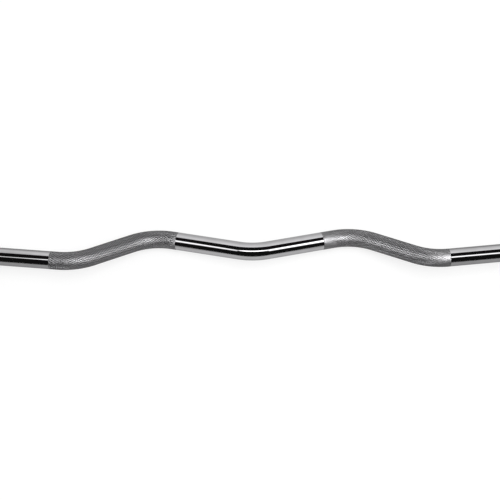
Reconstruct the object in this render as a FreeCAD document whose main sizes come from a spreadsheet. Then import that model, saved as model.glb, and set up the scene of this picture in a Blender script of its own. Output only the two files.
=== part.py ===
import FreeCAD
import Part
import math
import os
import Sketcher

# EZ curl bar for plates with a 50 mm hole. One bent shaft carries two knurled grips and
# a turned journal at each end. Each sleeve turns on two bronze bushings between thrust
# washers, and a snap ring on the journal keeps it on. The bar lies at rest on its two
# collars and on the two outer-facing crowns of the bends, with the middle of its floor
# outline at the origin.

# Driving sizes in millimetres
SIZES = {
    # bent shaft, heights measured from the sleeve axis in the plane of the bends
    "bar_diameter": 28.0,
    "bend_radius": 79.0,
    "centre_rise": 8.3,
    "peak_rise": 45.3,
    "trough_drop": 14.0,
    "centre_to_peak": 149.0,
    "peak_to_trough": 142.0,
    "trough_to_end": 109.0,
    "end_straight": 24.0,
    # knurled grips, from the bend's end to the edge of the band
    "knurl_lead_in": 13.9,
    "knurl_run_out": 6.6,
    "knurl_relief": 0.15,
    # journal at each end of the shaft
    "shoulder_height": 1.5,
    "end_chamfer": 1.0,
    "ring_land": 3.0,
    "ring_groove_depth": 0.6,
    "groove_play": 0.1,
    # bushings
    "running_clearance": 0.05,
    "bushing_wall": 3.0,
    "bushing_length": 30.0,
    "bushing_stop": 1.0,
    "flange_thickness": 2.5,
    "flange_margin": 1.0,
    "oil_groove_width": 3.0,
    "oil_groove_depth": 0.8,
    # thrust washers and snap ring
    "washer_thickness": 1.5,
    "washer_clearance": 0.1,
    "washer_margin": 0.4,
    "axial_float": 0.3,
    "ring_thickness": 1.2,
    "ring_proud": 2.0,
    "ring_opening": 40.0,
    # dust seal
    "seal_wall": 3.0,
    "seal_width": 4.0,
    "seal_lip": 1.5,
    "seal_root": 1.4,
    "seal_clearance": 0.3,
    "seal_inset": 0.5,
    "seal_gap": 1.0,
    # collar
    "collar_height": 12.5,
    "collar_seat": 16.2,
    "rim_round": 1.5,
    "face_round": 4.0,
    "lip_chamfer": 0.8,
    "rim_groove_width": 7.0,
    "rim_groove_depth": 1.5,
    # set screw
    "screw_diameter": 6.0,
    "screw_recess": 0.5,
    "screw_point": 1.0,
    "socket_flats": 3.0,
    "socket_depth": 3.5,
    # sleeve, turned down a little where the collar sits
    "sleeve_wall": 9.45,
    "loadable_length": 150.0,
    "seat_step": 0.5,
    "seat_relief": 1.0,
    "sleeve_chamfer": 2.0,
    "mouth_chamfer": 0.8,
    # end cap and its circlip
    "cap_step": 1.5,
    "cap_inset": 3.0,
    "cap_thickness": 5.0,
    "cap_clearance": 0.1,
    "cap_gap": 4.0,
    "cap_rim": 6.0,
    "cap_dish": 1.0,
    "circlip_thickness": 1.5,
    "circlip_bite": 1.0,
    "circlip_width": 3.0,
    "circlip_offset": 0.5,
    "circlip_slack": 0.05,
    "circlip_opening": 2.2,
    "ear_radius": 2.4,
    "ear_spread": 7.2,
    "ear_hole": 2.0,
}

V = FreeCAD.Vector
X_AXIS = V(1, 0, 0)
Z_AXIS = V(0, 0, 1)
FULL_TURN = 360.0
HALF_TURN = 180.0
SAME_PLACE = 1e-6

# Sketch references: the points of a sketched curve, the two axes, and the root point
START, END, CENTRE = range(1, 4)
V_AXIS, H_AXIS = range(-2, 0)
ROOT = (H_AXIS, START)
SIDES = ((1, "a"), (-1, "b"))


class Dim:
    """A length: its number now, and the sheet expression that drives it."""

    def __init__(self, text, value):
        self.text = text
        self.value = value

    def __add__(self, other):
        return Dim(f"({self.text} + {other.text})", self.value + other.value)

    def __sub__(self, other):
        return Dim(f"({self.text} - {other.text})", self.value - other.value)

    def __mul__(self, factor):
        return Dim(f"({self.text} * {factor})", self.value * factor)

    def __truediv__(self, factor):
        return Dim(f"({self.text} / {factor})", self.value / factor)


def size(name):
    return Dim(f"sizes.{name}", SIZES[name])


# Sheet and small builders

doc = FreeCAD.newDocument("ez_curl_bar")
os.makedirs("parts", exist_ok=True)

sheet = doc.addObject("Spreadsheet::Sheet", "sizes")
for row, (name, value) in enumerate(SIZES.items(), start=1):
    sheet.set(f"A{row}", name)
    sheet.set(f"B{row}", str(value))
    sheet.setAlias(f"B{row}", name)
doc.recompute()


def new_body(name):
    body = doc.addObject("PartDesign::Body", name)
    body.Label = name
    return body


def origin_plane(body, role):
    return next(item for item in body.Origin.OriginFeatures if item.Role == role)


def sketch_on(body, name, role, lift=None):
    """A sketch on one of the body's own planes, lifted along that plane's normal."""
    sketch = body.newObject("Sketcher::SketchObject", name)
    sketch.AttachmentSupport = [(origin_plane(body, role), "")]
    sketch.MapMode = "FlatFace"
    if lift is not None:
        sketch.setExpression("AttachmentOffset.Base.z", lift.text)
    return sketch


def dimension(sketch, constraint, dim):
    """Add one constraint and drive it from the sheet."""
    index = sketch.addConstraint(constraint)
    sketch.setExpression(f"Constraints[{index}]", dim.text)


def place_point(sketch, geo, pos, x, y):
    """Fix one sketch point by its distances from the sketch origin; None lies on the axis."""
    if x is None:
        sketch.addConstraint(Sketcher.Constraint("PointOnObject", geo, pos, V_AXIS))
    else:
        dimension(sketch, Sketcher.Constraint("DistanceX", *ROOT, geo, pos, x.value), x)
    if y is None:
        sketch.addConstraint(Sketcher.Constraint("PointOnObject", geo, pos, H_AXIS))
    else:
        dimension(sketch, Sketcher.Constraint("DistanceY", *ROOT, geo, pos, y.value), y)


def closed_loop(sketch, spots):
    """Straight lines round these points, joined end to end."""
    count = len(spots)
    for i in range(count):
        sketch.addGeometry(Part.LineSegment(spots[i], spots[(i + 1) % count]))
    for i in range(count):
        following = (i + 1) % count
        sketch.addConstraint(Sketcher.Constraint("Coincident", i, END, following, START))


def outline(sketch, points):
    """A closed outline of straight lines through dimensioned points."""
    closed_loop(sketch, [V(x.value if x else 0, y.value if y else 0, 0) for x, y in points])
    for i, (x, y) in enumerate(points):
        place_point(sketch, i, START, x, y)


def circle(sketch, x, y, radius):
    """A circle with its centre and its radius dimensioned."""
    centre = V(x.value if x else 0, y.value if y else 0, 0)
    geo = sketch.addGeometry(Part.Circle(centre, Z_AXIS, radius.value))
    if x is None and y is None:
        sketch.addConstraint(Sketcher.Constraint("Coincident", geo, CENTRE, *ROOT))
    else:
        place_point(sketch, geo, CENTRE, x, y)
    dimension(sketch, Sketcher.Constraint("Radius", geo, radius.value), radius)


def revolve(body, name, points, opening=None):
    """Turn an outline about the sleeve axis, with a gap left open if one is given."""
    sketch = sketch_on(body, f"{name}_outline", "XZ_Plane")
    outline(sketch, points)
    turn = body.newObject("PartDesign::Revolution", name)
    turn.Profile = sketch
    turn.ReferenceAxis = (sketch, ["H_Axis"])
    turn.Angle = FULL_TURN
    if opening is not None:
        turn.setExpression("Angle", f"{FULL_TURN} - {opening.text}")
    doc.recompute()
    return turn


def pad(body, name, sketch, length):
    feature = body.newObject("PartDesign::Pad", name)
    feature.Profile = sketch
    feature.setExpression("Length", length.text)
    doc.recompute()
    return feature


def pocket_up(body, name, sketch, length):
    """Cut along the sketch normal, and make sure that something was cut."""
    before = body.Shape.Volume
    feature = body.newObject("PartDesign::Pocket", name)
    feature.Profile = sketch
    feature.Reversed = True
    feature.setExpression("Length", length.text)
    doc.recompute()
    if not feature.Shape.Volume < before:
        raise RuntimeError(f"{body.Label}: {name} cuts nothing")
    return feature


def circles_at(shape, x, radius):
    """Names of the round edges that circle the sleeve axis at this place."""
    names = []
    for i, edge in enumerate(shape.Edges, start=1):
        curve = edge.Curve
        if not isinstance(curve, Part.Circle):
            continue
        on_axis = math.hypot(curve.Center.y, curve.Center.z) < SAME_PLACE
        same_x = abs(curve.Center.x - x.value) < SAME_PLACE
        same_radius = abs(curve.Radius - radius.value) < SAME_PLACE
        if on_axis and same_x and same_radius:
            names.append(f"Edge{i}")
    return names


def ease(body, kind, name, base, x, radius, amount):
    """Fillet or chamfer the round edge at one place on a turned piece."""
    feature = body.newObject(f"PartDesign::{kind}", name)
    feature.Base = (base, circles_at(base.Shape, x, radius))
    feature.setExpression("Radius" if kind == "Fillet" else "Size", amount.text)
    doc.recompute()
    return feature


# Radii, from the shaft outward
bar_r = size("bar_diameter") / 2
knurl_r = bar_r - size("knurl_relief")
journal_r = bar_r - size("shoulder_height")
ring_groove_r = journal_r - size("ring_groove_depth")
run_r = journal_r + size("running_clearance")
oil_r = run_r + size("oil_groove_depth")
bushing_r = run_r + size("bushing_wall")
mid_bore_r = bushing_r - size("bushing_stop")
washer_in_r = journal_r + size("washer_clearance")
washer_out_r = bushing_r - size("washer_margin")
ring_out_r = journal_r + size("ring_proud")
seal_r = bar_r + size("seal_clearance")
lip_r = bar_r + size("seal_wall")
cap_bore_r = bushing_r + size("cap_step")
cap_r = cap_bore_r - size("cap_clearance")
circlip_groove_r = cap_bore_r + size("circlip_bite")
circlip_r = circlip_groove_r - size("circlip_slack")
sleeve_r = bushing_r + size("sleeve_wall")
seat_r = sleeve_r - size("seat_step")
flange_r = seat_r - size("flange_margin")
collar_r = sleeve_r + size("collar_height")
rim_groove_r = collar_r - size("rim_groove_depth")

# Stations along the sleeve axis, from the middle of the bar to one end
peak_x = size("centre_to_peak")
trough_x = peak_x + size("peak_to_trough")
bends_end = trough_x + size("trough_to_end")
collar_face = bends_end + size("end_straight")
seal_start = collar_face + size("seal_inset")
seal_end = seal_start + size("seal_width")
shoulder = seal_end + size("seal_gap")
inner_washer_end = shoulder + size("washer_thickness")
flange_face = inner_washer_end + size("axial_float")
sleeve_start = flange_face + size("flange_thickness")
inner_bushing_end = sleeve_start + size("bushing_length")
collar_back = sleeve_start + size("collar_seat")
screw_x = sleeve_start + size("collar_seat") / 2
seat_end = collar_back + size("seat_relief")
sleeve_end = collar_back + size("loadable_length")
circlip_out = sleeve_end - size("cap_inset")
circlip_in = circlip_out - size("circlip_thickness")
cap_seat = circlip_in - size("cap_thickness")
shaft_end = cap_seat - size("cap_gap")
ring_out = shaft_end - size("ring_land")
ring_in = ring_out - size("ring_thickness")
ring_groove_in = ring_in - size("groove_play")
outer_washer_start = ring_in - size("washer_thickness")
outer_bushing_end = outer_washer_start - size("axial_float")
outer_bushing_start = outer_bushing_end - size("bushing_length")

# Resting place: the bend plane tips about the sleeve axis until the crowns touch the floor
rest_tilt = f"asin({(collar_r - bar_r).text} / sizes.peak_rise)"
rest_reach = f"(sizes.peak_rise * cos({rest_tilt}) + {bar_r.text} - {collar_r.text})"


def set_down(body, flipped=False):
    """Put a finished piece on the resting bar, flipped end for end on the left side."""
    if flipped:
        body.Placement = FreeCAD.Placement(V(), FreeCAD.Rotation(Z_AXIS, HALF_TURN))
    body.setExpression("Placement.Base.y", f"-{rest_reach} / 2")
    body.setExpression("Placement.Base.z", collar_r.text)


# Bent shaft

def cross_tangent(centre_a, centre_b, radius, rising):
    """Ends of the line between two equal bends that curve opposite ways."""
    span = centre_b - centre_a
    lean = math.acos(2 * radius / span.Length)
    aim = math.atan2(span.y, span.x)
    angle = aim - lean if rising else aim + lean
    normal = V(math.cos(angle), math.sin(angle), 0)
    return centre_a + normal * radius, centre_b - normal * radius


def bend(centre, radius, start, end):
    """A bend drawn anticlockwise from one point to the other."""
    first = math.atan2(start.y - centre.y, start.x - centre.x)
    last = math.atan2(end.y - centre.y, end.x - centre.x)
    return Part.ArcOfCircle(Part.Circle(centre, Z_AXIS, radius), first, last)


def centreline(body):
    """Half of the bent centreline, from the middle crown to the shoulder."""
    radius = size("bend_radius")
    rises = {
        "middle": SIZES["centre_rise"],
        "peak": SIZES["peak_rise"],
        "trough": -SIZES["trough_drop"],
    }
    middle_c = V(0, rises["middle"] + radius.value, 0)
    peak_c = V(peak_x.value, rises["peak"] - radius.value, 0)
    trough_c = V(trough_x.value, rises["trough"] + radius.value, 0)
    end_c = V(bends_end.value, -radius.value, 0)
    crown = V(0, rises["middle"], 0)
    arm_start, arm_end = cross_tangent(middle_c, peak_c, radius.value, True)
    grip_start, grip_end = cross_tangent(peak_c, trough_c, radius.value, False)
    out_start, out_end = cross_tangent(trough_c, end_c, radius.value, True)
    lead = (arm_start - arm_end).normalize() * SIZES["knurl_lead_in"]
    run = (out_end - out_start).normalize() * SIZES["knurl_run_out"]
    straight_start = V(bends_end.value, 0, 0)
    straight_end = V(shoulder.value, 0, 0)

    path = sketch_on(body, "centreline", "XZ_Plane")
    line = Part.LineSegment
    middle_bend = path.addGeometry(bend(middle_c, radius.value, crown, arm_start))
    arm = path.addGeometry(line(arm_start, arm_end + lead))
    arm_knurled = path.addGeometry(line(arm_end + lead, arm_end))
    peak_bend = path.addGeometry(bend(peak_c, radius.value, grip_start, arm_end))
    grip = path.addGeometry(line(grip_start, grip_end))
    trough_bend = path.addGeometry(bend(trough_c, radius.value, grip_end, out_start))
    out_knurled = path.addGeometry(line(out_start, out_start + run))
    out = path.addGeometry(line(out_start + run, out_end))
    end_bend = path.addGeometry(bend(end_c, radius.value, straight_start, out_end))
    straight = path.addGeometry(line(straight_start, straight_end))

    for first, first_end, second, second_end in (
        (middle_bend, END, arm, START),
        (arm_knurled, END, peak_bend, END),
        (peak_bend, START, grip, START),
        (grip, END, trough_bend, START),
        (trough_bend, END, out_knurled, START),
        (out, END, end_bend, END),
        (end_bend, START, straight, START),
    ):
        path.addConstraint(Sketcher.Constraint("Tangent", first, first_end, second, second_end))
    for first, second in ((arm, arm_knurled), (out_knurled, out)):
        path.addConstraint(Sketcher.Constraint("Coincident", first, END, second, START))
        path.addConstraint(Sketcher.Constraint("Parallel", first, second))
    for other in (peak_bend, trough_bend, end_bend):
        path.addConstraint(Sketcher.Constraint("Equal", middle_bend, other))
    dimension(path, Sketcher.Constraint("Radius", middle_bend, radius.value), radius)
    path.addConstraint(Sketcher.Constraint("PointOnObject", middle_bend, START, V_AXIS))
    path.addConstraint(Sketcher.Constraint("PointOnObject", middle_bend, CENTRE, V_AXIS))
    path.addConstraint(Sketcher.Constraint("PointOnObject", straight, END, H_AXIS))
    path.addConstraint(Sketcher.Constraint("Horizontal", straight))

    def apart(kind, start, end, length):
        dimension(path, Sketcher.Constraint(kind, *start, *end, length.value), length)

    # heights of the crowns: each bend's centre measured from its neighbour's
    centre_gap = radius * 2 + size("centre_rise") - size("peak_rise")
    grip_gap = radius * 2 - size("trough_drop") - size("peak_rise")
    apart("DistanceY", ROOT, (middle_bend, START), size("centre_rise"))
    apart("DistanceY", (peak_bend, CENTRE), (middle_bend, CENTRE), centre_gap)
    apart("DistanceY", (peak_bend, CENTRE), (trough_bend, CENTRE), grip_gap)
    # stations along the sleeve axis
    apart("DistanceX", ROOT, (peak_bend, CENTRE), peak_x)
    apart("DistanceX", ROOT, (trough_bend, CENTRE), trough_x)
    apart("DistanceX", ROOT, (end_bend, CENTRE), bends_end)
    apart("DistanceX", ROOT, (straight, END), shoulder)
    # stretches of knurling past the bends
    for stretch, length in ((arm_knurled, size("knurl_lead_in")), (out_knurled, size("knurl_run_out"))):
        dimension(path, Sketcher.Constraint("Distance", stretch, length.value), length)
    doc.recompute()
    middle_edges = [middle_bend, arm]
    outer_edges = [out, end_bend, straight]
    return path, middle_edges, outer_edges


def sweep(body, name, path, edges, radius, at_shoulder=False):
    """Round bar along some edges of the centreline, drawn from one of its two ends."""
    profile = sketch_on(body, f"{name}_round", "YZ_Plane", shoulder if at_shoulder else None)
    circle(profile, None, None if at_shoulder else size("centre_rise"), radius)
    pipe = body.newObject("PartDesign::AdditivePipe", name)
    pipe.Profile = profile
    pipe.Spine = (path, [f"Edge{i + 1}" for i in edges])
    doc.recompute()
    return pipe


def make_shaft():
    body = new_body("shaft")
    path, middle_edges, outer_edges = centreline(body)
    grips = sweep(body, "grip_bar", path, range(path.GeometryCount), knurl_r)
    middle = sweep(body, "smooth_middle", path, middle_edges, bar_r)
    outer = sweep(body, "smooth_outer", path, outer_edges, bar_r, at_shoulder=True)
    journal = revolve(body, "journal", [
        (shoulder, None),
        (shoulder, journal_r),
        (ring_groove_in, journal_r),
        (ring_groove_in, ring_groove_r),
        (ring_out, ring_groove_r),
        (ring_out, journal_r),
        (shaft_end - size("end_chamfer"), journal_r),
        (shaft_end, journal_r - size("end_chamfer")),
        (shaft_end, None),
    ])
    whole = body.newObject("PartDesign::Mirrored", "both_halves")
    whole.Originals = [grips, middle, outer, journal]
    whole.MirrorPlane = (origin_plane(body, "YZ_Plane"), [""])
    body.Tip = whole
    doc.recompute()
    body.Placement = FreeCAD.Placement(V(), FreeCAD.Rotation(X_AXIS, -HALF_TURN / 2))
    body.setExpression("Placement.Rotation.Angle", f"-(90 deg + {rest_tilt})")
    set_down(body)
    return body


# Sleeve assembly, drawn on the right-hand end

def make_collar(name):
    body = new_body(name)
    groove_in = screw_x - size("rim_groove_width") / 2
    groove_out = screw_x + size("rim_groove_width") / 2
    turned = revolve(body, "collar_ring", [
        (collar_face, lip_r),
        (collar_face, collar_r),
        (groove_in, collar_r),
        (groove_in, rim_groove_r),
        (groove_out, rim_groove_r),
        (groove_out, collar_r),
        (collar_back, collar_r),
        (collar_back, seat_r),
        (flange_face, seat_r),
        (flange_face, lip_r),
    ])
    edge = ease(body, "Fillet", "face_edge", turned, collar_face, collar_r, size("face_round"))
    edge = ease(body, "Fillet", "rim_edge", edge, collar_back, collar_r, size("rim_round"))
    ease(body, "Chamfer", "lip_edge", edge, collar_face, lip_r, size("lip_chamfer"))
    hole = sketch_on(body, "screw_hole_round", "XY_Plane")
    circle(hole, screw_x, None, size("screw_diameter") / 2)
    pocket_up(body, "screw_hole", hole, collar_r)
    return body


def make_set_screw(name):
    body = new_body(name)
    radius = size("screw_diameter") / 2
    top = rim_groove_r - size("screw_recess")
    shank = sketch_on(body, "shank_round", "XY_Plane", seat_r)
    circle(shank, screw_x, None, radius)
    solid = pad(body, "shank", shank, top - seat_r)
    foot = [f"Edge{i}" for i, edge in enumerate(solid.Shape.Edges, start=1)
            if edge.BoundBox.ZMax < seat_r.value + SAME_PLACE]
    point = body.newObject("PartDesign::Chamfer", "point")
    point.Base = (solid, foot)
    point.setExpression("Size", size("screw_point").text)
    doc.recompute()
    socket = sketch_on(body, "socket_hexagon", "XY_Plane", top - size("socket_depth"))
    hexagon(socket, screw_x, size("socket_flats"))
    pocket_up(body, "socket", socket, size("socket_depth"))
    return body


def hexagon(sketch, x, flats):
    """A regular hexagon of this width across flats, centred on the sketch's own x axis."""
    sides = 6
    corner = Dim(f"({flats.text} / sqrt(3))", flats.value / math.sqrt(3))
    centre = V(x.value, 0, 0)
    angles = [2 * math.pi * i / sides for i in range(sides)]
    closed_loop(sketch, [centre + V(math.cos(a), math.sin(a), 0) * corner.value for a in angles])
    guide = sketch.addGeometry(Part.Circle(centre, Z_AXIS, corner.value), True)
    for i in range(sides):
        sketch.addConstraint(Sketcher.Constraint("PointOnObject", i, START, guide))
    for i in range(1, sides):
        sketch.addConstraint(Sketcher.Constraint("Equal", 0, i))
    sketch.addConstraint(Sketcher.Constraint("PointOnObject", 0, START, H_AXIS))
    place_point(sketch, guide, CENTRE, x, None)
    dimension(sketch, Sketcher.Constraint("Radius", guide, corner.value), corner)


def make_sleeve(name):
    body = new_body(name)
    turned = revolve(body, "sleeve_tube", [
        (sleeve_start, bushing_r),
        (sleeve_start, seat_r),
        (seat_end, seat_r),
        (seat_end, sleeve_r),
        (sleeve_end, sleeve_r),
        (sleeve_end, cap_bore_r),
        (circlip_out + size("groove_play"), cap_bore_r),
        (circlip_out + size("groove_play"), circlip_groove_r),
        (circlip_in, circlip_groove_r),
        (circlip_in, cap_bore_r),
        (cap_seat, cap_bore_r),
        (cap_seat, bushing_r),
        (outer_bushing_start, bushing_r),
        (outer_bushing_start, mid_bore_r),
        (inner_bushing_end, mid_bore_r),
        (inner_bushing_end, bushing_r),
    ])
    edge = ease(body, "Chamfer", "end_edge", turned, sleeve_end, sleeve_r, size("sleeve_chamfer"))
    ease(body, "Chamfer", "mouth_edge", edge, sleeve_end, cap_bore_r, size("mouth_chamfer"))
    return body


def oil_groove(start, end):
    """Corners of the oil groove half way along a bushing's bore, outer side first."""
    middle = (start + end) / 2
    half = size("oil_groove_width") / 2
    return [(middle + half, run_r), (middle + half, oil_r),
            (middle - half, oil_r), (middle - half, run_r)]


def make_inner_bushing(name):
    body = new_body(name)
    revolve(body, "flanged_bushing", [
        (flange_face, run_r),
        (flange_face, flange_r),
        (sleeve_start, flange_r),
        (sleeve_start, bushing_r),
        (inner_bushing_end, bushing_r),
        (inner_bushing_end, run_r),
        *oil_groove(sleeve_start, inner_bushing_end),
    ])
    return body


def make_outer_bushing(name):
    body = new_body(name)
    revolve(body, "plain_bushing", [
        (outer_bushing_start, run_r),
        (outer_bushing_start, bushing_r),
        (outer_bushing_end, bushing_r),
        (outer_bushing_end, run_r),
        *oil_groove(outer_bushing_start, outer_bushing_end),
    ])
    return body


def make_washer(name, start):
    body = new_body(name)
    face = sketch_on(body, "washer_face", "YZ_Plane", start)
    circle(face, None, None, washer_out_r)
    circle(face, None, None, washer_in_r)
    pad(body, "washer", face, size("washer_thickness"))
    return body


def make_snap_ring(name):
    body = new_body(name)
    inner_r = ring_groove_r + size("circlip_slack")
    revolve(body, "snap_ring", [
        (ring_in, inner_r),
        (ring_in, ring_out_r),
        (ring_out, ring_out_r),
        (ring_out, inner_r),
    ], opening=size("ring_opening"))
    return body


def make_dust_seal(name):
    body = new_body(name)
    lip_back = seal_start + size("seal_lip")
    root_r = lip_r - size("seal_root")
    revolve(body, "seal_ring", [
        (seal_start, seal_r),
        (seal_start, lip_r),
        (seal_end, lip_r),
        (seal_end, root_r),
        (lip_back, root_r),
        (lip_back, seal_r),
    ])
    return body


def make_end_cap(name):
    body = new_body(name)
    rim_r = cap_r - size("cap_rim")
    dish_r = rim_r - size("cap_dish")
    dish_x = circlip_in - size("cap_dish")
    revolve(body, "cap_disc", [
        (cap_seat, None),
        (cap_seat, cap_r),
        (circlip_in, cap_r),
        (circlip_in, rim_r),
        (dish_x, dish_r),
        (dish_x, None),
    ])
    return body


def make_circlip(name):
    """Internal circlip: widest opposite its opening, with an eyelet at each end."""
    body = new_body(name)
    inner_r = circlip_r - size("circlip_width")
    ear_z = inner_r
    ear_y = size("ear_spread") / 2
    ring = sketch_on(body, "ring_face", "YZ_Plane", circlip_in)
    circle(ring, None, None, circlip_r)
    circle(ring, None, size("circlip_offset"), inner_r)
    thickness = size("circlip_thickness")
    pad(body, "ring", ring, thickness)
    for side, letter in SIDES:
        ear = sketch_on(body, f"ear_face_{letter}", "YZ_Plane", circlip_in)
        circle_on_side(ear, side, ear_y, ear_z, size("ear_radius"))
        pad(body, f"ear_{letter}", ear, thickness)
    gap = sketch_on(body, "opening_face", "YZ_Plane", circlip_in)
    slot_up(gap, size("circlip_opening") / 2, circlip_groove_r)
    pocket_up(body, "opening", gap, thickness)
    for side, letter in SIDES:
        eyelet = sketch_on(body, f"eyelet_face_{letter}", "YZ_Plane", circlip_in)
        circle_on_side(eyelet, side, ear_y, ear_z, size("ear_hole") / 2)
        pocket_up(body, f"eyelet_{letter}", eyelet, thickness)
    return body


def circle_on_side(sketch, side, x, y, radius):
    """A circle on the chosen side of the sketch's upright axis."""
    geo = sketch.addGeometry(Part.Circle(V(side * x.value, y.value, 0), Z_AXIS, radius.value))
    ends = (*ROOT, geo, CENTRE) if side > 0 else (geo, CENTRE, *ROOT)
    dimension(sketch, Sketcher.Constraint("DistanceX", *ends, x.value), x)
    dimension(sketch, Sketcher.Constraint("DistanceY", *ROOT, geo, CENTRE, y.value), y)
    dimension(sketch, Sketcher.Constraint("Radius", geo, radius.value), radius)


def slot_up(sketch, half, reach):
    """A slot about the sketch's upright axis, from the centre out past the ring."""
    closed_loop(sketch, [V(-half.value, 0, 0), V(half.value, 0, 0),
                         V(half.value, reach.value, 0), V(-half.value, reach.value, 0)])
    foot, right, head, left = range(4)
    sketch.addConstraint(Sketcher.Constraint("PointOnObject", foot, START, H_AXIS))
    sketch.addConstraint(Sketcher.Constraint("PointOnObject", foot, END, H_AXIS))
    sketch.addConstraint(Sketcher.Constraint("Vertical", right))
    sketch.addConstraint(Sketcher.Constraint("Vertical", left))
    sketch.addConstraint(Sketcher.Constraint("Horizontal", head))
    dimension(sketch, Sketcher.Constraint("DistanceX", *ROOT, foot, END, half.value), half)
    dimension(sketch, Sketcher.Constraint("DistanceX", foot, START, *ROOT, half.value), half)
    dimension(sketch, Sketcher.Constraint("DistanceY", right, reach.value), reach)


# Build every piece

pieces = [make_shaft()]
for side in ("right", "left"):
    end_pieces = [
        make_collar(f"{side}_collar"),
        make_set_screw(f"{side}_collar_set_screw"),
        make_sleeve(f"{side}_sleeve"),
        make_dust_seal(f"{side}_dust_seal"),
        make_washer(f"{side}_inner_thrust_washer", shoulder),
        make_inner_bushing(f"{side}_inner_bushing"),
        make_outer_bushing(f"{side}_outer_bushing"),
        make_washer(f"{side}_outer_thrust_washer", outer_washer_start),
        make_snap_ring(f"{side}_snap_ring"),
        make_end_cap(f"{side}_end_cap"),
        make_circlip(f"{side}_end_cap_circlip"),
    ]
    for body in end_pieces:
        set_down(body, flipped=side == "left")
    pieces += end_pieces
doc.recompute()

# Check and write every piece

for item in doc.Objects:
    if "Invalid" in item.State or "Error" in item.State:
        raise RuntimeError(f"{item.Label}: {item.State}")
for body in pieces:
    shape = body.Shape
    if shape.isNull() or not shape.isValid() or len(shape.Solids) != 1:
        raise RuntimeError(f"{body.Label}: not one sound solid")
    shape.exportStep(f"parts/{body.Label}.step")
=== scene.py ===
import math
from collections import namedtuple

import bpy
from mathutils import Matrix, Vector


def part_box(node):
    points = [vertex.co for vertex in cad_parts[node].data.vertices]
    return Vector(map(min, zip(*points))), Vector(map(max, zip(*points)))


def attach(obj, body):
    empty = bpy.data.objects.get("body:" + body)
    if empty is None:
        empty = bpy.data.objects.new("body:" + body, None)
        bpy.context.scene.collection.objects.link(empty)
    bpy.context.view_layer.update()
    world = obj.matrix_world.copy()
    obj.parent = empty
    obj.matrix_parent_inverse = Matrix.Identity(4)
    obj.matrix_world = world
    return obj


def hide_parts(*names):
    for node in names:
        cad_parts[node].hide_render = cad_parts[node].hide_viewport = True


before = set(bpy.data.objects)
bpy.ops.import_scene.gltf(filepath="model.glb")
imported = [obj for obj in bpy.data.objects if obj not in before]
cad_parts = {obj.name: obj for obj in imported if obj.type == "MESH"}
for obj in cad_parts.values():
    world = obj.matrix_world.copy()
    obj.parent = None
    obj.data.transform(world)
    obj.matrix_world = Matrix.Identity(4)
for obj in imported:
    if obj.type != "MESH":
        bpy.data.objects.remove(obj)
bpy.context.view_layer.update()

# Bent bar, in metres
MM = 0.001
MICRON = 0.001 * MM
BAR_RADIUS = 14 * MM
BEND_RADIUS = 79 * MM
CENTRE_RISE = 8.3 * MM
PEAK_RISE = 45.3 * MM
TROUGH_DROP = 14 * MM
PEAK_X = 149 * MM
TROUGH_X = 291 * MM
BENDS_END = 400 * MM

# Journal at each end of the bar
SHOULDER_X = 429.5 * MM
JOURNAL_RADIUS = 12.5 * MM
JOURNAL_END = 586.5 * MM
JOURNAL_CHAMFER = 1 * MM
RING_GROOVE_START = 582.3 * MM
RING_GROOVE_END = 583.6 * MM
RING_GROOVE_RADIUS = 11.9 * MM

# The bar lies on its collars and on the peaks of its bends
COLLAR_RADIUS = 37.5 * MM
REST_TILT = math.asin((COLLAR_RADIUS - BAR_RADIUS) / PEAK_RISE)
AXIS_Y = (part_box("right_sleeve")[0].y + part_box("right_sleeve")[1].y) / 2
AXIS_ORIGIN = Vector((0, AXIS_Y, COLLAR_RADIUS))
ALONG = Vector((1, 0, 0))
RISE = Vector((0, math.cos(REST_TILT), -math.sin(REST_TILT)))
OUT_OF_PLANE = ALONG.cross(RISE)

# Knurled grips, each from before its peak to past its trough
KNURL_LEAD_IN = 13.9 * MM
KNURL_OVERRUN = 6.6 * MM
KNURL_SIDE_SHIFT = 5.5 * MM
KNURL_STARTS = 26
KNURL_ROWS = 37
BAND_EDGE = 0.25 * MM
# lengths over which the grooves run out at the two ends of a grip, from left to right
GROOVE_RUN_OUT = {"right": (46 * MM, 46 * MM), "left": (0, 12 * MM)}
LEAST_DEPTH = 0.1

# Diamonds of the knurling, with two levels between root and tip
KNURL_ROOT = 13.5 * MM
KNURL_SHOULDER = 13.92 * MM
KNURL_BROW = 13.985 * MM
KNURL_TIP = 14 * MM
# shares of a diamond's width at its two levels
SHOULDER_SHARE = 0.78
BROW_SHARE = 0.54
# corners of a diamond about its tip, in half rows along the bar and in starts round it
DIAMOND_CORNERS = ((0, -0.5), (1, 0), (0, 0.5), (-1, 0))
# corners that lie on the band in its inner rows and in its first and last row
INNER_ROW_CORNERS = (0, 1, 2, 3)
FIRST_ROW_CORNERS = (0, 1, 2)
LAST_ROW_CORNERS = (2, 3, 0)

# Mesh fineness
TUBE_SEGMENTS = 160
STRAIGHT_STEP = 8 * MM
ARC_STEP = 1.5 * MM
LEAST_STEP = 0.05 * MM
SHARP_ANGLE = math.radians(28)

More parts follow.
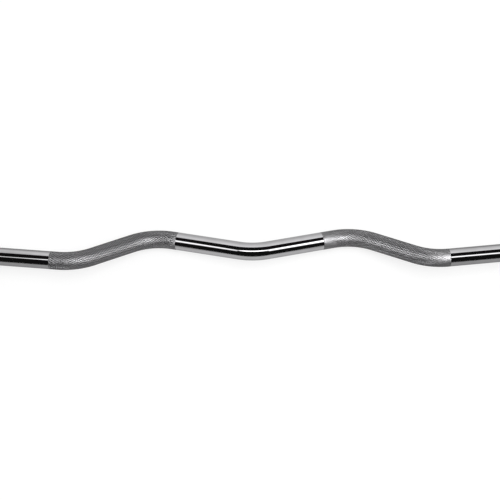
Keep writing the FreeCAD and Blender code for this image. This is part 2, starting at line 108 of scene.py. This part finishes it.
# Metals: two tones of a cloud, range of roughness, grain and its relief, tint at a glancing angle
EVEN = (1, 1, 1)
Metal = namedtuple(
    "Metal",
    "low high smoothest roughest grain relief source stretch edge",
    defaults=("Object", EVEN, EVEN),
)
CHROME_LOW = (0.36, 0.357, 0.365)
CHROME_HIGH = (0.4, 0.396, 0.405)
CHROME_EDGE = (0.6, 0.6, 0.6)
BENT_CHROME = Metal(
    low=CHROME_LOW,
    high=CHROME_HIGH,
    smoothest=0.015,
    roughest=0.06,
    grain=900,
    relief=0.4 * MICRON,
    source="UV",
    stretch=(0.05, 1, 1),
    edge=CHROME_EDGE,
)
TURNED_CHROME = Metal(
    low=CHROME_LOW,
    high=CHROME_HIGH,
    smoothest=0.02,
    roughest=0.09,
    grain=700,
    relief=0.6 * MICRON,
    stretch=(6, 1, 1),
    edge=CHROME_EDGE,
)
CAP_STEEL = Metal(
    low=(0.4, 0.4, 0.41),
    high=(0.5, 0.5, 0.51),
    smoothest=0.18,
    roughest=0.34,
    grain=900,
    relief=4 * MICRON,
)
WASHER_STEEL = Metal(
    low=(0.42, 0.42, 0.43),
    high=(0.52, 0.52, 0.53),
    smoothest=0.2,
    roughest=0.36,
    grain=1200,
    relief=3 * MICRON,
)
SPRING_STEEL = Metal(
    low=(0.05, 0.05, 0.052),
    high=(0.11, 0.11, 0.115),
    smoothest=0.3,
    roughest=0.5,
    grain=1500,
    relief=6 * MICRON,
)
BLACK_STEEL = Metal(
    low=(0.03, 0.03, 0.033),
    high=(0.07, 0.07, 0.075),
    smoothest=0.3,
    roughest=0.46,
    grain=1500,
    relief=5 * MICRON,
)
BRONZE = Metal(
    low=(0.5, 0.3, 0.13),
    high=(0.63, 0.41, 0.2),
    smoothest=0.26,
    roughest=0.44,
    grain=1400,
    relief=8 * MICRON,
)
METALS = {
    "shaft_chrome": BENT_CHROME,
    "collar_chrome": TURNED_CHROME,
    "sleeve_chrome": TURNED_CHROME,
    "cap_steel": CAP_STEEL,
    "washer_steel": WASHER_STEEL,
    "spring_steel": SPRING_STEEL,
    "black_screw": BLACK_STEEL,
    "bronze": BRONZE,
}
CLOUD_GRAIN = 60

# Noise, and the range in which most of its values lie
NOISE_DETAIL = 3
NOISE_ROUGHNESS = 0.55
NOISE_LOW = 0.3
NOISE_HIGH = 0.7

# Knurled chrome, its tone set by height on the diamonds, darker down the grooves as painted shade,
# and varied by a grain of wear
SHADED_GROOVE_TONE = (0.028, 0.028, 0.0285)
# the crests' tone, well below the smooth chrome's, is partly painted shade for light trapped in the
# knurling
CREST_TONE = (0.155, 0.1535, 0.1575)
KNURL_EDGE = (0.7, 0.7, 0.7)
KNURL_GRAIN = 1500
KNURL_RELIEF = 4 * MICRON
KNURL_ROUGHNESS = 0.47
RUN_OUT_ROUGHNESS = 0.51
GRAIN_WEAR = 0.5
# levels of the tone between two heights on the diamonds: painted shade down in the grooves, none on
# the crests
GROOVE_SHADE_LEVEL = -0.25
CREST_UNSHADED_LEVEL = 0.75
GROOVE_SHADE_FADES_FROM = 0.55
GROOVE_SHADE_FADES_TO = 0.9

# Rubber
RUBBER_LOW = (0.012, 0.012, 0.012)
RUBBER_HIGH = (0.03, 0.03, 0.031)
RUBBER_GRAIN = 2500
RUBBER_CLOUD = 400
RUBBER_SMOOTHEST = 0.5
RUBBER_ROUGHEST = 0.75
RUBBER_RELIEF = 20 * MICRON
RUBBER_STRENGTH = 0.6

# Floor and surround
WHITE = (1, 1, 1, 1)
FLOOR_TONE = (0.3, 0.3, 0.3, 1)
FLOOR_ROUGHNESS = 0.9
FLOOR_LIFT = 0.72
FLOOR_HALF = 20
SURROUND_LEVEL = 0.62
SURROUND_SEEN = 1

# Cards that the chrome reflects, bent round the bar
STUDIO_REACH = 6
BACKDROP_REACH = 6.06
CARD_SPREAD = math.radians(84)
CARD_STEPS = 48
CARD_COLUMNS = 120
DARK_FROM = math.radians(0.5)
DARK_TO = math.radians(120)
DARK_GLOW = 0.012
STRIP_MIDDLE = math.radians(69)
BACK_TO = math.radians(178)
BACK_GLOW_TOP = 1.7
BACK_GLOW_LOW = 1.0
# shares of the back card's glow, by place along it over its reach
Level = namedtuple("Level", "place share")
BACK = (
    Level(place=-0.9, share=1.6),
    Level(place=-0.7, share=1.05),
    Level(place=-0.52, share=1.0),
    Level(place=-0.44, share=0.66),
    Level(place=-0.32, share=0.66),
    Level(place=-0.25, share=1.0),
    Level(place=0.7, share=1.0),
    Level(place=0.9, share=0.3),
)
# stretches of the strip, by place along it over its reach, with half widths in degrees
Stretch = namedtuple("Stretch", "start end half_width glow")
STRIP = (
    Stretch(start=-1.7, end=-1.7, half_width=1, glow=1),
    Stretch(start=-1.5, end=-0.8, half_width=22, glow=25),
    Stretch(start=-0.66, end=-0.54, half_width=14, glow=3.2),
    Stretch(start=-0.49, end=-0.45, half_width=5, glow=1.9),
    Stretch(start=-0.41, end=-0.38, half_width=6.5, glow=4),
    Stretch(start=-0.25, end=0.3, half_width=7.5, glow=6),
    Stretch(start=0.4, end=0.4, half_width=8.5, glow=4.5),
    Stretch(start=0.44, end=0.5, half_width=10, glow=3.5),
    Stretch(start=0.56, end=0.66, half_width=18, glow=5),
    Stretch(start=0.8, end=1.5, half_width=20, glow=3),
    Stretch(start=1.7, end=1.7, half_width=1, glow=1),
)

# Cards on the floor, seen only in the metal: a painted reflection of the floor
APRON_NEAR = 0.42
APRON_LIFT = 0.5 * MM
FLOOR_REFLECTION_NEAR = 0.018
FLOOR_REFLECTION_MIDDLE = 0.1
FLOOR_REFLECTION_SIDE = 0.2
FLOOR_REFLECTION_GLOW = 1.05
FLOOR_REFLECTION_SIDE_GLOW = 0.66

# Lamps
KEY_ENERGY = 60
KEY_SIZE = 2.5
KEY_PLACE = Vector((0.6, -0.8, 3.0))
GRIP_LIGHT_REACH = 5.7
# soft lights of the knurled grips, by place along the bar over their reach
GripLight = namedtuple("GripLight", "side place angle length width energy")
GRIP_LIGHTS = (
    GripLight(side="left", place=0.3, angle=math.radians(63), length=1.2, width=1.2, energy=490),
    GripLight(side="left", place=1.1, angle=math.radians(48), length=3.5, width=0.8, energy=420),
    GripLight(side="right", place=0.33, angle=math.radians(67), length=2.8, width=0.8, energy=800),
)

# Camera, its lens and sensor in millimetres
VIEW_ELEVATION = math.radians(64.62)
VIEW_DISTANCE = 2.5
VIEW_ROLL = 0.008
LENS = 115.7
SENSOR = 36
CLIP_END = 100
AIM_RIGHT = -4.8 * MM
AIM_UP = 7.0 * MM


# Centreline of the bent bar
Crown = namedtuple("Crown", "x rise side")
Leg = namedtuple("Leg", "length start heading curvature")


def heading_between(start, end, side):
    """Heading of the straight that leaves one bend and joins the next, opposite bend."""
    span = end - start
    return math.atan2(span.y, span.x) + side * math.asin(2 * BEND_RADIUS / span.length)


def point_of_bend(centre, heading, side):
    """Point at which the bar has a heading in the bend about a centre."""
    return centre + side * BEND_RADIUS * Vector((math.sin(heading), -math.cos(heading)))


def centreline_legs():
    """Legs of constant curvature of half the bar, from its middle outward."""
    crowns = (
        Crown(x=0, rise=CENTRE_RISE, side=1),
        Crown(x=PEAK_X, rise=PEAK_RISE, side=-1),
        Crown(x=TROUGH_X, rise=-TROUGH_DROP, side=1),
        Crown(x=BENDS_END, rise=0, side=-1),
    )
    centres = [Vector((crown.x, crown.rise + crown.side * BEND_RADIUS)) for crown in crowns]
    headings = [0]
    for crown, centre, after in zip(crowns, centres, centres[1:]):
        headings.append(heading_between(centre, after, crown.side))
    headings.append(0)
    legs = []
    for i, (crown, centre) in enumerate(zip(crowns, centres)):
        start, end = headings[i], headings[i + 1]
        enters = point_of_bend(centre, start, crown.side)
        leaves = point_of_bend(centre, end, crown.side)
        legs.append(Leg(BEND_RADIUS * abs(end - start), enters, start, crown.side / BEND_RADIUS))
        if i + 1 < len(centres):
            joins = point_of_bend(centres[i + 1], end, -crown.side)
            legs.append(Leg((joins - leaves).length, leaves, end, 0))
    legs.append(Leg(JOURNAL_END - BENDS_END, Vector((BENDS_END, 0)), 0, 0))
    return legs


LEGS = centreline_legs()
LEG_STARTS = [sum(leg.length for leg in LEGS[:i]) for i in range(len(LEGS) + 1)]
PEAK_BEND = 2
TROUGH_BEND = 4
END_BEND = 6
KNURL_START = LEG_STARTS[PEAK_BEND] - KNURL_LEAD_IN
KNURL_END = LEG_STARTS[TROUGH_BEND + 1] + KNURL_OVERRUN
STRAIGHT_END = LEG_STARTS[END_BEND + 1]


def station(distance):
    """Point and heading in the plane of the bends at a signed distance from the middle."""
    mirror = -1 if distance < 0 else 1
    reach = abs(distance)
    i = 0
    while i + 1 < len(LEGS) and reach > LEG_STARTS[i + 1]:
        i += 1
    leg = LEGS[i]
    run = reach - LEG_STARTS[i]
    turned = leg.heading + leg.curvature * run
    if leg.curvature:
        x = leg.start.x + (math.sin(turned) - math.sin(leg.heading)) / leg.curvature
        rise = leg.start.y - (math.cos(turned) - math.cos(leg.heading)) / leg.curvature
    else:
        x = leg.start.x + run * math.cos(leg.heading)
        rise = leg.start.y + run * math.sin(leg.heading)
    return mirror * x, rise, mirror * turned


def on_bar(distance, radius, angle):
    """Point at a radius and an angle round the bar's axis."""
    x, rise, heading = station(distance)
    up = radius * math.cos(angle)
    out = radius * math.sin(angle)
    return (
        AXIS_ORIGIN
        + ALONG * (x - up * math.sin(heading))
        + RISE * (rise + up * math.cos(heading))
        + OUT_OF_PLANE * out
    )


def stations_between(start, end):
    """Distances from start to end, closer together in the bends."""
    marks = {start, end}
    for leg, leg_start in zip(LEGS, LEG_STARTS):
        step = ARC_STEP if leg.curvature else STRAIGHT_STEP
        count = max(1, math.ceil(leg.length / step))
        for k in range(count + 1):
            reach = leg_start + leg.length * k / count
            marks.update(d for d in (reach, -reach) if start < d < end)
    ordered = sorted(marks)
    kept = [ordered[0]]
    for distance in ordered[1:]:
        if distance - kept[-1] > LEAST_STEP:
            kept.append(distance)
    kept[-1] = end
    return kept


# Mesh pieces
def mesh_piece(name, points, faces, uvs, smooth, marks=None):
    """A mesh object from points and faces, with length and girth as its UV in metres."""
    mesh = bpy.data.meshes.new(name)
    mesh.from_pydata(points, [], faces)
    layer = mesh.uv_layers.new(name="length_girth")
    for loop in mesh.loops:
        layer.data[loop.index].uv = uvs[loop.vertex_index]
    mesh.polygons.foreach_set("use_smooth", [smooth] * len(mesh.polygons))
    if smooth:
        mesh.set_sharp_from_angle(angle=SHARP_ANGLE)
    for label, values in (marks or {}).items():
        mesh.attributes.new(label, "FLOAT", "POINT").data.foreach_set("value", values)
    mesh.update()
    piece = bpy.data.objects.new(name, mesh)
    bpy.context.scene.collection.objects.link(piece)
    return piece


def tube(name, profile):
    """Round bar through a profile of distance and radius, closed at both ends."""
    points, uvs, faces = [], [], []
    for distance, radius in profile:
        for k in range(TUBE_SEGMENTS):
            angle = 2 * math.pi * k / TUBE_SEGMENTS
            points.append(on_bar(distance, radius, angle))
            uvs.append((distance, BAR_RADIUS * angle))
    for i in range(len(profile) - 1):
        near = i * TUBE_SEGMENTS
        far = near + TUBE_SEGMENTS
        for k in range(TUBE_SEGMENTS):
            after = (k + 1) % TUBE_SEGMENTS
            faces.append((near + k, near + after, far + after, far + k))
    last = (len(profile) - 1) * TUBE_SEGMENTS
    faces.append(tuple(reversed(range(TUBE_SEGMENTS))))
    faces.append(tuple(last + k for k in range(TUBE_SEGMENTS)))
    return mesh_piece(name, points, faces, uvs, True)


def groove_depth(distance, start, end, fades):
    """Share of the full depth of the grooves, less where they run out at an end."""
    depth = 1
    for gap, fade in zip((distance - start, end - distance), fades):
        if fade:
            depth = min(depth, max(LEAST_DEPTH, gap / fade))
    return depth


def corners_on_band(row, last_row):
    """Corners of a diamond that lie on the band, three of four in its first and last row."""
    if row == 0:
        return FIRST_ROW_CORNERS
    if row == last_row:
        return LAST_ROW_CORNERS
    return INNER_ROW_CORNERS


def knurled_band(name, start, end, fades):
    """Diamonds between two families of crossing grooves, cut square at both ends."""
    half_row = (end - start) / KNURL_ROWS / 2
    girth_step = 2 * math.pi / KNURL_STARTS
    last_row = 2 * KNURL_ROWS
    levels = ((SHOULDER_SHARE, KNURL_SHOULDER), (BROW_SHARE, KNURL_BROW))
    points, uvs, faces, crests, depths = [], [], [], [], []

    def add_point(row, turn, full_radius):
        """Index of a new point, nearer to the tips' radius where the grooves run out."""
        distance = start + row * half_row
        angle = turn * girth_step
        depth = groove_depth(distance, start, end, fades)
        radius = KNURL_TIP - depth * (KNURL_TIP - full_radius)
        points.append(on_bar(distance, radius, angle))
        uvs.append((distance, BAR_RADIUS * angle))
        crests.append((radius - KNURL_ROOT) / (KNURL_TIP - KNURL_ROOT))
        depths.append(depth)
        return len(points) - 1

    def crossing(row, lane):
        """Index of the point where two grooves cross."""
        return row * KNURL_STARTS + lane % KNURL_STARTS

    for row in range(last_row + 1):
        for lane in range(KNURL_STARTS):
            add_point(row, lane + ((row + 1) % 2) / 2, KNURL_ROOT)

    rims = {0: [], last_row: []}
    for row in range(last_row + 1):
        odd = row % 2
        corners = corners_on_band(row, last_row)
        whole = corners == INNER_ROW_CORNERS
        count = len(corners)
        edges = [(k, (k + 1) % count) for k in range(count if whole else count - 1)]
        for lane in range(KNURL_STARTS):
            turn = lane + odd / 2
            crossings = (
                crossing(row, lane + odd - 1),
                crossing(row + 1, lane),
                crossing(row, lane + odd),
                crossing(row - 1, lane),
            )
            ring = [crossings[k] for k in corners]
            rim_out, rim_back = [ring[0]], []
            for share, radius in levels:
                inner = []
                for along, across in (DIAMOND_CORNERS[k] for k in corners):
                    inner.append(add_point(row + along * share, turn + across * share, radius))
                faces.extend((ring[a], ring[b], inner[b], inner[a]) for a, b in edges)
                ring = inner
                rim_out.append(inner[0])
                rim_back.insert(0, inner[-1])
            tip = add_point(row, turn, KNURL_TIP)
            faces.extend((ring[a], ring[b], tip) for a, b in edges)
            if not whole:
                rims[row].append(rim_out + [tip] + rim_back)
    faces.append(tuple(point for rim in rims[0] for point in rim))
    faces.append(tuple(point for rim in reversed(rims[last_row]) for point in rim))
    return mesh_piece(name, points, faces, uvs, False, {"crest": crests, "depth": depths})


def smooth_profile(start, end, start_edge, end_edge):
    """Full-radius profile, eased at an end that meets a knurled band."""
    profile = [(distance, BAR_RADIUS) for distance in stations_between(start, end)]
    if start_edge:
        profile[0:1] = [(start, BAR_RADIUS - BAND_EDGE), (start + BAND_EDGE, BAR_RADIUS)]
    if end_edge:
        profile[-1:] = [(end - BAND_EDGE, BAR_RADIUS), (end, BAR_RADIUS - BAND_EDGE)]
    return profile


def journal_profile():
    """Shoulder, turned journal, snap ring groove and chamfer, outward from the shoulder."""
    reach = STRAIGHT_END - BENDS_END
    steps = (
        (SHOULDER_X, BAR_RADIUS),
        (SHOULDER_X, JOURNAL_RADIUS),
        (RING_GROOVE_START, JOURNAL_RADIUS),
        (RING_GROOVE_START, RING_GROOVE_RADIUS),
        (RING_GROOVE_END, RING_GROOVE_RADIUS),
        (RING_GROOVE_END, JOURNAL_RADIUS),
        (JOURNAL_END - JOURNAL_CHAMFER, JOURNAL_RADIUS),
        (JOURNAL_END, JOURNAL_RADIUS - JOURNAL_CHAMFER),
    )
    return [(x + reach, radius) for x, radius in steps]


def make_shaft():
    """The bent bar as its smooth middle, two outer arms and two knurled grips."""
    bands = {
        "right": (KNURL_START - KNURL_SIDE_SHIFT, KNURL_END - KNURL_SIDE_SHIFT),
        "left": (-KNURL_END - KNURL_SIDE_SHIFT, -KNURL_START - KNURL_SIDE_SHIFT),
    }
    shoulder = STRAIGHT_END + SHOULDER_X - BENDS_END
    right_arm = smooth_profile(bands["right"][1], shoulder, True, False)
    left_arm = smooth_profile(-shoulder, bands["left"][0], False, True)
    left_journal = [(-distance, radius) for distance, radius in reversed(journal_profile())]
    profiles = {
        "shaft_middle": smooth_profile(bands["left"][1], bands["right"][0], True, True),
        "shaft_right_arm": right_arm[:-1] + journal_profile(),
        "shaft_left_arm": left_journal + left_arm[1:],
    }
    pieces = {name: tube(name, profile) for name, profile in profiles.items()}
    for side, (start, end) in bands.items():
        name = f"shaft_{side}_grip"
        pieces[name] = knurled_band(name, start, end, GROOVE_RUN_OUT[side])
    return pieces


# Materials
def new_material(name):
    """A node material with its tree and its shader."""
    material = bpy.data.materials.new(name)
    material.use_nodes = True
    return material, material.node_tree, material.node_tree.nodes["Principled BSDF"]


def add_node(tree, kind, values=(), **settings):
    """A shader node with some of its inputs and settings given by name."""
    made = tree.nodes.new(kind)
    for key, value in settings.items():
        setattr(made, key, value)
    for key, value in dict(values).items():
        made.inputs[key].default_value = value
    return made


def coordinates(tree, source, stretch):
    """Texture coordinates of an object or of its UV, times a stretch."""
    place = add_node(tree, "ShaderNodeTexCoord")
    mapping = add_node(tree, "ShaderNodeMapping", {"Scale": stretch})
    tree.links.new(place.outputs[source], mapping.inputs["Vector"])
    return mapping.outputs["Vector"]


def noise(tree, vector, scale):
    """Soft noise at a scale."""
    made = add_node(
        tree,
        "ShaderNodeTexNoise",
        {"Scale": scale, "Detail": NOISE_DETAIL, "Roughness": NOISE_ROUGHNESS},
    )
    tree.links.new(vector, made.inputs["Vector"])
    return made.outputs["Fac"]


def remap(tree, value, low, high, start=NOISE_LOW, end=NOISE_HIGH):
    """A factor between start and end, carried over to low and high."""
    made = add_node(
        tree,
        "ShaderNodeMapRange",
        {"From Min": start, "From Max": end, "To Min": low, "To Max": high},
    )
    tree.links.new(value, made.inputs["Value"])
    return made.outputs["Result"]


def blend_colours(tree, factor, low, high):
    """A colour between two tones."""
    made = add_node(tree, "ShaderNodeMix", data_type="RGBA")
    ends = [socket for socket in made.inputs if socket.type == "RGBA"]
    for socket, tone in zip(ends, (low, high)):
        socket.default_value = (*tone, 1)
    tree.links.new(factor, made.inputs["Factor"])
    return next(socket for socket in made.outputs if socket.type == "RGBA")


def point_mark(tree, label):
    """Value that a mesh holds at each of its points."""
    return add_node(tree, "ShaderNodeAttribute", attribute_name=label).outputs["Fac"]


def bump(tree, shader, height, distance, strength=1):
    """Relief of a height in the shader's normal."""
    made = add_node(tree, "ShaderNodeBump", {"Strength": strength, "Distance": distance})
    tree.links.new(height, made.inputs["Height"])
    tree.links.new(made.outputs["Normal"], shader.inputs["Normal"])


def metal(name, look):
    """Metal with a cloudy tone, a grain in its shine and a fine relief."""
    material, tree, shader = new_material(name)
    shader.inputs["Metallic"].default_value = 1
    shader.inputs["Specular Tint"].default_value = (*look.edge, 1)
    cloud = noise(tree, coordinates(tree, look.source, EVEN), CLOUD_GRAIN)
    tone = blend_colours(tree, remap(tree, cloud, 0, 1), look.low, look.high)
    tree.links.new(tone, shader.inputs["Base Color"])
    fine = noise(tree, coordinates(tree, look.source, look.stretch), look.grain)
    tree.links.new(remap(tree, fine, look.smoothest, look.roughest), shader.inputs["Roughness"])
    bump(tree, shader, fine, look.relief)
    return material


def knurled_chrome(name):
    """Chrome that is bright on the crests of the diamonds and darker down in the grooves, where the
    darkness is painted shade.
    """
    material, tree, shader = new_material(name)
    shader.inputs["Metallic"].default_value = 1
    shader.inputs["Specular Tint"].default_value = (*KNURL_EDGE, 1)
    fine = noise(tree, coordinates(tree, "UV", EVEN), KNURL_GRAIN)
    # painted shade: the tone darkens from the crests down into the grooves, and a grain of wear is
    # added to it
    height = remap(tree, point_mark(tree, "crest"), GROOVE_SHADE_LEVEL, CREST_UNSHADED_LEVEL, GROOVE_SHADE_FADES_FROM, GROOVE_SHADE_FADES_TO)
    wear_and_groove_shade = add_node(tree, "ShaderNodeMath", operation="MULTIPLY_ADD", use_clamp=True)
    grain, share, base = wear_and_groove_shade.inputs
    share.default_value = GRAIN_WEAR
    tree.links.new(fine, grain)
    tree.links.new(height, base)
    tone = blend_colours(tree, wear_and_groove_shade.outputs["Value"], SHADED_GROOVE_TONE, CREST_TONE)
    tree.links.new(tone, shader.inputs["Base Color"])
    depth = point_mark(tree, "depth")
    roughness = remap(tree, depth, RUN_OUT_ROUGHNESS, KNURL_ROUGHNESS, LEAST_DEPTH, 1)
    tree.links.new(roughness, shader.inputs["Roughness"])
    bump(tree, shader, fine, KNURL_RELIEF)
    return material


def rubber(name):
    """Matt black rubber with a fine grain."""
    material, tree, shader = new_material(name)
    place = coordinates(tree, "Object", EVEN)
    fine = noise(tree, place, RUBBER_GRAIN)
    tone = blend_colours(tree, remap(tree, fine, 0, 1), RUBBER_LOW, RUBBER_HIGH)
    tree.links.new(tone, shader.inputs["Base Color"])
    cloud = noise(tree, place, RUBBER_CLOUD)
    tree.links.new(remap(tree, cloud, RUBBER_SMOOTHEST, RUBBER_ROUGHEST), shader.inputs["Roughness"])
    bump(tree, shader, fine, RUBBER_RELIEF, RUBBER_STRENGTH)
    return material


def make_materials():
    """Every finish of the bar, by name."""
    made = {name: metal(name, look) for name, look in METALS.items()}
    made["knurl_chrome"] = knurled_chrome("knurl_chrome")
    made["seal_rubber"] = rubber("seal_rubber")
    return made


# Studio
def seen_directly(tree):
    """One for rays from the camera and for those a mirror or a glass passes on."""
    path = add_node(tree, "ShaderNodeLightPath")
    total = path.outputs["Is Camera Ray"]
    for kind in ("Is Glossy Ray", "Is Transmission Ray"):
        added = add_node(tree, "ShaderNodeMath", operation="ADD", use_clamp=True)
        tree.links.new(total, added.inputs[0])
        tree.links.new(path.outputs[kind], added.inputs[1])
        total = added.outputs["Value"]
    return total


def make_world():
    """White where it is seen, and an even soft light on everything."""
    world = bpy.data.worlds.new("surround")
    bpy.context.scene.world = world
    world.use_nodes = True
    tree = world.node_tree
    sky = tree.nodes["Background"]
    sky.inputs["Color"].default_value = WHITE
    level = remap(tree, seen_directly(tree), SURROUND_LEVEL, SURROUND_SEEN, 0, 1)
    tree.links.new(level, sky.inputs["Strength"])


def make_floor():
    """Plain pale floor, lifted towards white where it is seen."""
    mesh = bpy.data.meshes.new("floor")
    corners = [(x * FLOOR_HALF, y * FLOOR_HALF, 0) for x, y in ((-1, -1), (1, -1), (1, 1), (-1, 1))]
    mesh.from_pydata(corners, [], [(0, 1, 2, 3)])
    floor = bpy.data.objects.new("floor", mesh)
    bpy.context.scene.collection.objects.link(floor)
    material, tree, shader = new_material("floor_paper")
    shader.inputs["Base Color"].default_value = FLOOR_TONE
    shader.inputs["Roughness"].default_value = FLOOR_ROUGHNESS
    shader.inputs["Specular IOR Level"].default_value = 0
    shader.inputs["Emission Color"].default_value = WHITE
    lift = remap(tree, seen_directly(tree), 0, FLOOR_LIFT, 0, 1)
    tree.links.new(lift, shader.inputs["Emission Strength"])
    mesh.materials.append(material)


def studio_point(x, angle, reach):
    """Point of the studio's round, the angle taken from the front through the zenith."""
    return AXIS_ORIGIN + Vector((x, -reach * math.cos(angle), reach * math.sin(angle)))


def reflected_card(name, points, faces, levels, sampling="NONE"):
    """A glowing mesh that shows only in polished metal."""
    mesh = bpy.data.meshes.new(name)
    mesh.from_pydata(points, [], faces)
    mesh.attributes.new("glow", "FLOAT", "POINT").data.foreach_set("value", levels)
    card = bpy.data.objects.new(name, mesh)
    bpy.context.scene.collection.objects.link(card)
    material = bpy.data.materials.new(name)
    material.use_nodes = True
    tree = material.node_tree
    light = add_node(tree, "ShaderNodeEmission", {"Color": WHITE})
    tree.links.new(point_mark(tree, "glow"), light.inputs["Strength"])
    tree.links.new(light.outputs["Emission"], tree.nodes["Material Output"].inputs["Surface"])
    material.cycles.emission_sampling = sampling
    mesh.materials.append(material)
    card.visible_camera = False
    card.visible_diffuse = False
    card.visible_transmission = False
    card.visible_shadow = False


def make_card(name, reach, edges, glow, sampling="NONE"):
    """A long card bent round the bar."""
    points, faces, levels = [], [], []
    for i in range(CARD_COLUMNS + 1):
        place = math.tan(CARD_SPREAD * (2 * i / CARD_COLUMNS - 1))
        start, end = edges(place)
        for k in range(CARD_STEPS + 1):
            share = k / CARD_STEPS
            points.append(studio_point(place * reach, start + (end - start) * share, reach))
            levels.append(glow(place, share))
    row = CARD_STEPS + 1
    for i in range(CARD_COLUMNS):
        for k in range(CARD_STEPS):
            corner = i * row + k
            faces.append((corner, corner + 1, corner + row + 1, corner + row))
    reflected_card(name, points, faces, levels, sampling)


def level_at(place, marks):
    """Value at a place along a card, straight between its marks and even beyond them."""
    if place <= marks[0][0]:
        return marks[0][1]
    for (near, low), (far, high) in zip(marks, marks[1:]):
        if near < place <= far:
            return low + (high - low) * (place - near) / (far - near)
    return marks[-1][1]


def make_cards():
    """A dark card overhead, a bright strip across it, and a pale card behind."""
    widths = [(spot, part.half_width) for part in STRIP for spot in (part.start, part.end)]
    glows = [(spot, part.glow) for part in STRIP for spot in (part.start, part.end)]

    def strip_edges(place):
        half_width = math.radians(level_at(place, widths))
        return STRIP_MIDDLE - half_width, STRIP_MIDDLE + half_width

    def strip_glow(place, share):
        return level_at(place, glows) * math.sin(math.pi * share)

    def back_glow(place, share):
        return level_at(place, BACK) * (BACK_GLOW_TOP + (BACK_GLOW_LOW - BACK_GLOW_TOP) * share)

    make_card(
        "dark_card",
        BACKDROP_REACH,
        lambda place: (DARK_FROM, DARK_TO),
        lambda place, share: DARK_GLOW,
    )
    make_card("strip_card", STUDIO_REACH, strip_edges, strip_glow, "FRONT_BACK")
    make_card("back_card", BACKDROP_REACH, lambda place: (DARK_TO, BACK_TO), back_glow)


def floor_card(name, far, near, columns):
    """A card on the floor along the bar, seen only in the metal, its glow set by columns across as a
    painted reflection.
    """
    points = [(x, AXIS_Y - reach, APRON_LIFT) for x, glow in columns for reach in (far, near)]
    levels = [glow for x, glow in columns for reach in (far, near)]
    faces = [(2 * i, 2 * i + 2, 2 * i + 3, 2 * i + 1) for i in range(len(columns) - 1)]
    reflected_card(name, points, faces, levels)


def make_floor_cards():
    """Painted reflection of the floor in the metal: dark farther off in front of the bar, and pale
    near it and behind, less so under its arms.
    """
    dark = [(-FLOOR_HALF, DARK_GLOW), (FLOOR_HALF, DARK_GLOW)]
    half = [(FLOOR_REFLECTION_MIDDLE, FLOOR_REFLECTION_GLOW), (FLOOR_REFLECTION_SIDE, FLOOR_REFLECTION_SIDE_GLOW), (FLOOR_HALF, FLOOR_REFLECTION_SIDE_GLOW)]
    pale = [(-x, glow) for x, glow in reversed(half)] + half
    floor_card("dark_apron", STUDIO_REACH, APRON_NEAR, dark)
    floor_card("pale_apron", APRON_NEAR, FLOOR_REFLECTION_NEAR, pale)
    floor_card("pale_rear", -STUDIO_REACH, -FLOOR_REFLECTION_NEAR, pale)


def make_lamp(name, place, length, width, energy):
    """A soft light that faces the bar, and that the camera doesn't see."""
    data = bpy.data.lights.new(name, "AREA")
    data.shape = "RECTANGLE"
    data.size = length
    data.size_y = width
    data.energy = energy
    lamp = bpy.data.objects.new(data.name, data)
    lamp.location = place
    lamp.rotation_mode = "QUATERNION"
    lamp.rotation_quaternion = (AXIS_ORIGIN - place).to_track_quat("-Z", "Y")
    lamp.visible_camera = False
    bpy.context.scene.collection.objects.link(lamp)
    return lamp


def make_key():
    """One broad soft light from above, which the metal doesn't mirror."""
    key = make_lamp("key", KEY_PLACE, KEY_SIZE, KEY_SIZE, KEY_ENERGY)
    key.visible_glossy = False


def make_grip_light(part, grip):
    """A soft light for one knurled grip, which the smooth chrome doesn't show."""
    place = studio_point(part.place * GRIP_LIGHT_REACH, part.angle, GRIP_LIGHT_REACH)
    lamp = make_lamp(f"{part.side}_grip_light", place, part.length, part.width, part.energy)
    lit = bpy.data.collections.new(lamp.name)
    lit.objects.link(grip)
    lamp.light_linking.receiver_collection = lit


def make_camera():
    """A camera in front of the bar and above it, slightly rolled."""
    data = bpy.data.cameras.new("camera")
    data.lens = LENS
    data.sensor_width = SENSOR
    data.clip_end = CLIP_END
    camera = bpy.data.objects.new("camera", data)
    back = Vector((0, -math.cos(VIEW_ELEVATION), math.sin(VIEW_ELEVATION)))
    level_up = back.cross(ALONG)
    up = level_up * math.cos(VIEW_ROLL) + ALONG * math.sin(VIEW_ROLL)
    right = up.cross(back)
    axes = Matrix((right, up, back)).transposed()
    aim = AXIS_ORIGIN + right * AIM_RIGHT + up * AIM_UP
    camera.matrix_world = Matrix.Translation(aim + back * VIEW_DISTANCE) @ axes.to_4x4()
    bpy.context.scene.collection.objects.link(camera)
    bpy.context.scene.camera = camera


# Assembly
materials = make_materials()
shaft = make_shaft()
for name, piece in shaft.items():
    finish = "knurl_chrome" if name.endswith("grip") else "shaft_chrome"
    piece.data.materials.append(materials[finish])
    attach(piece, "bar")
    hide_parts("shaft")

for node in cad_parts.values():
    for holder in node.material_slots:
        finish = holder.material.name.split(".")[0] if holder.material else None
        if finish in materials:
            holder.material = materials[finish]

make_world()
make_floor()
make_cards()
make_floor_cards()
make_key()
for part in GRIP_LIGHTS:
    make_grip_light(part, shaft[f"shaft_{part.side}_grip"])
make_camera()
bpy.context.scene.view_settings.view_transform = "Standard"
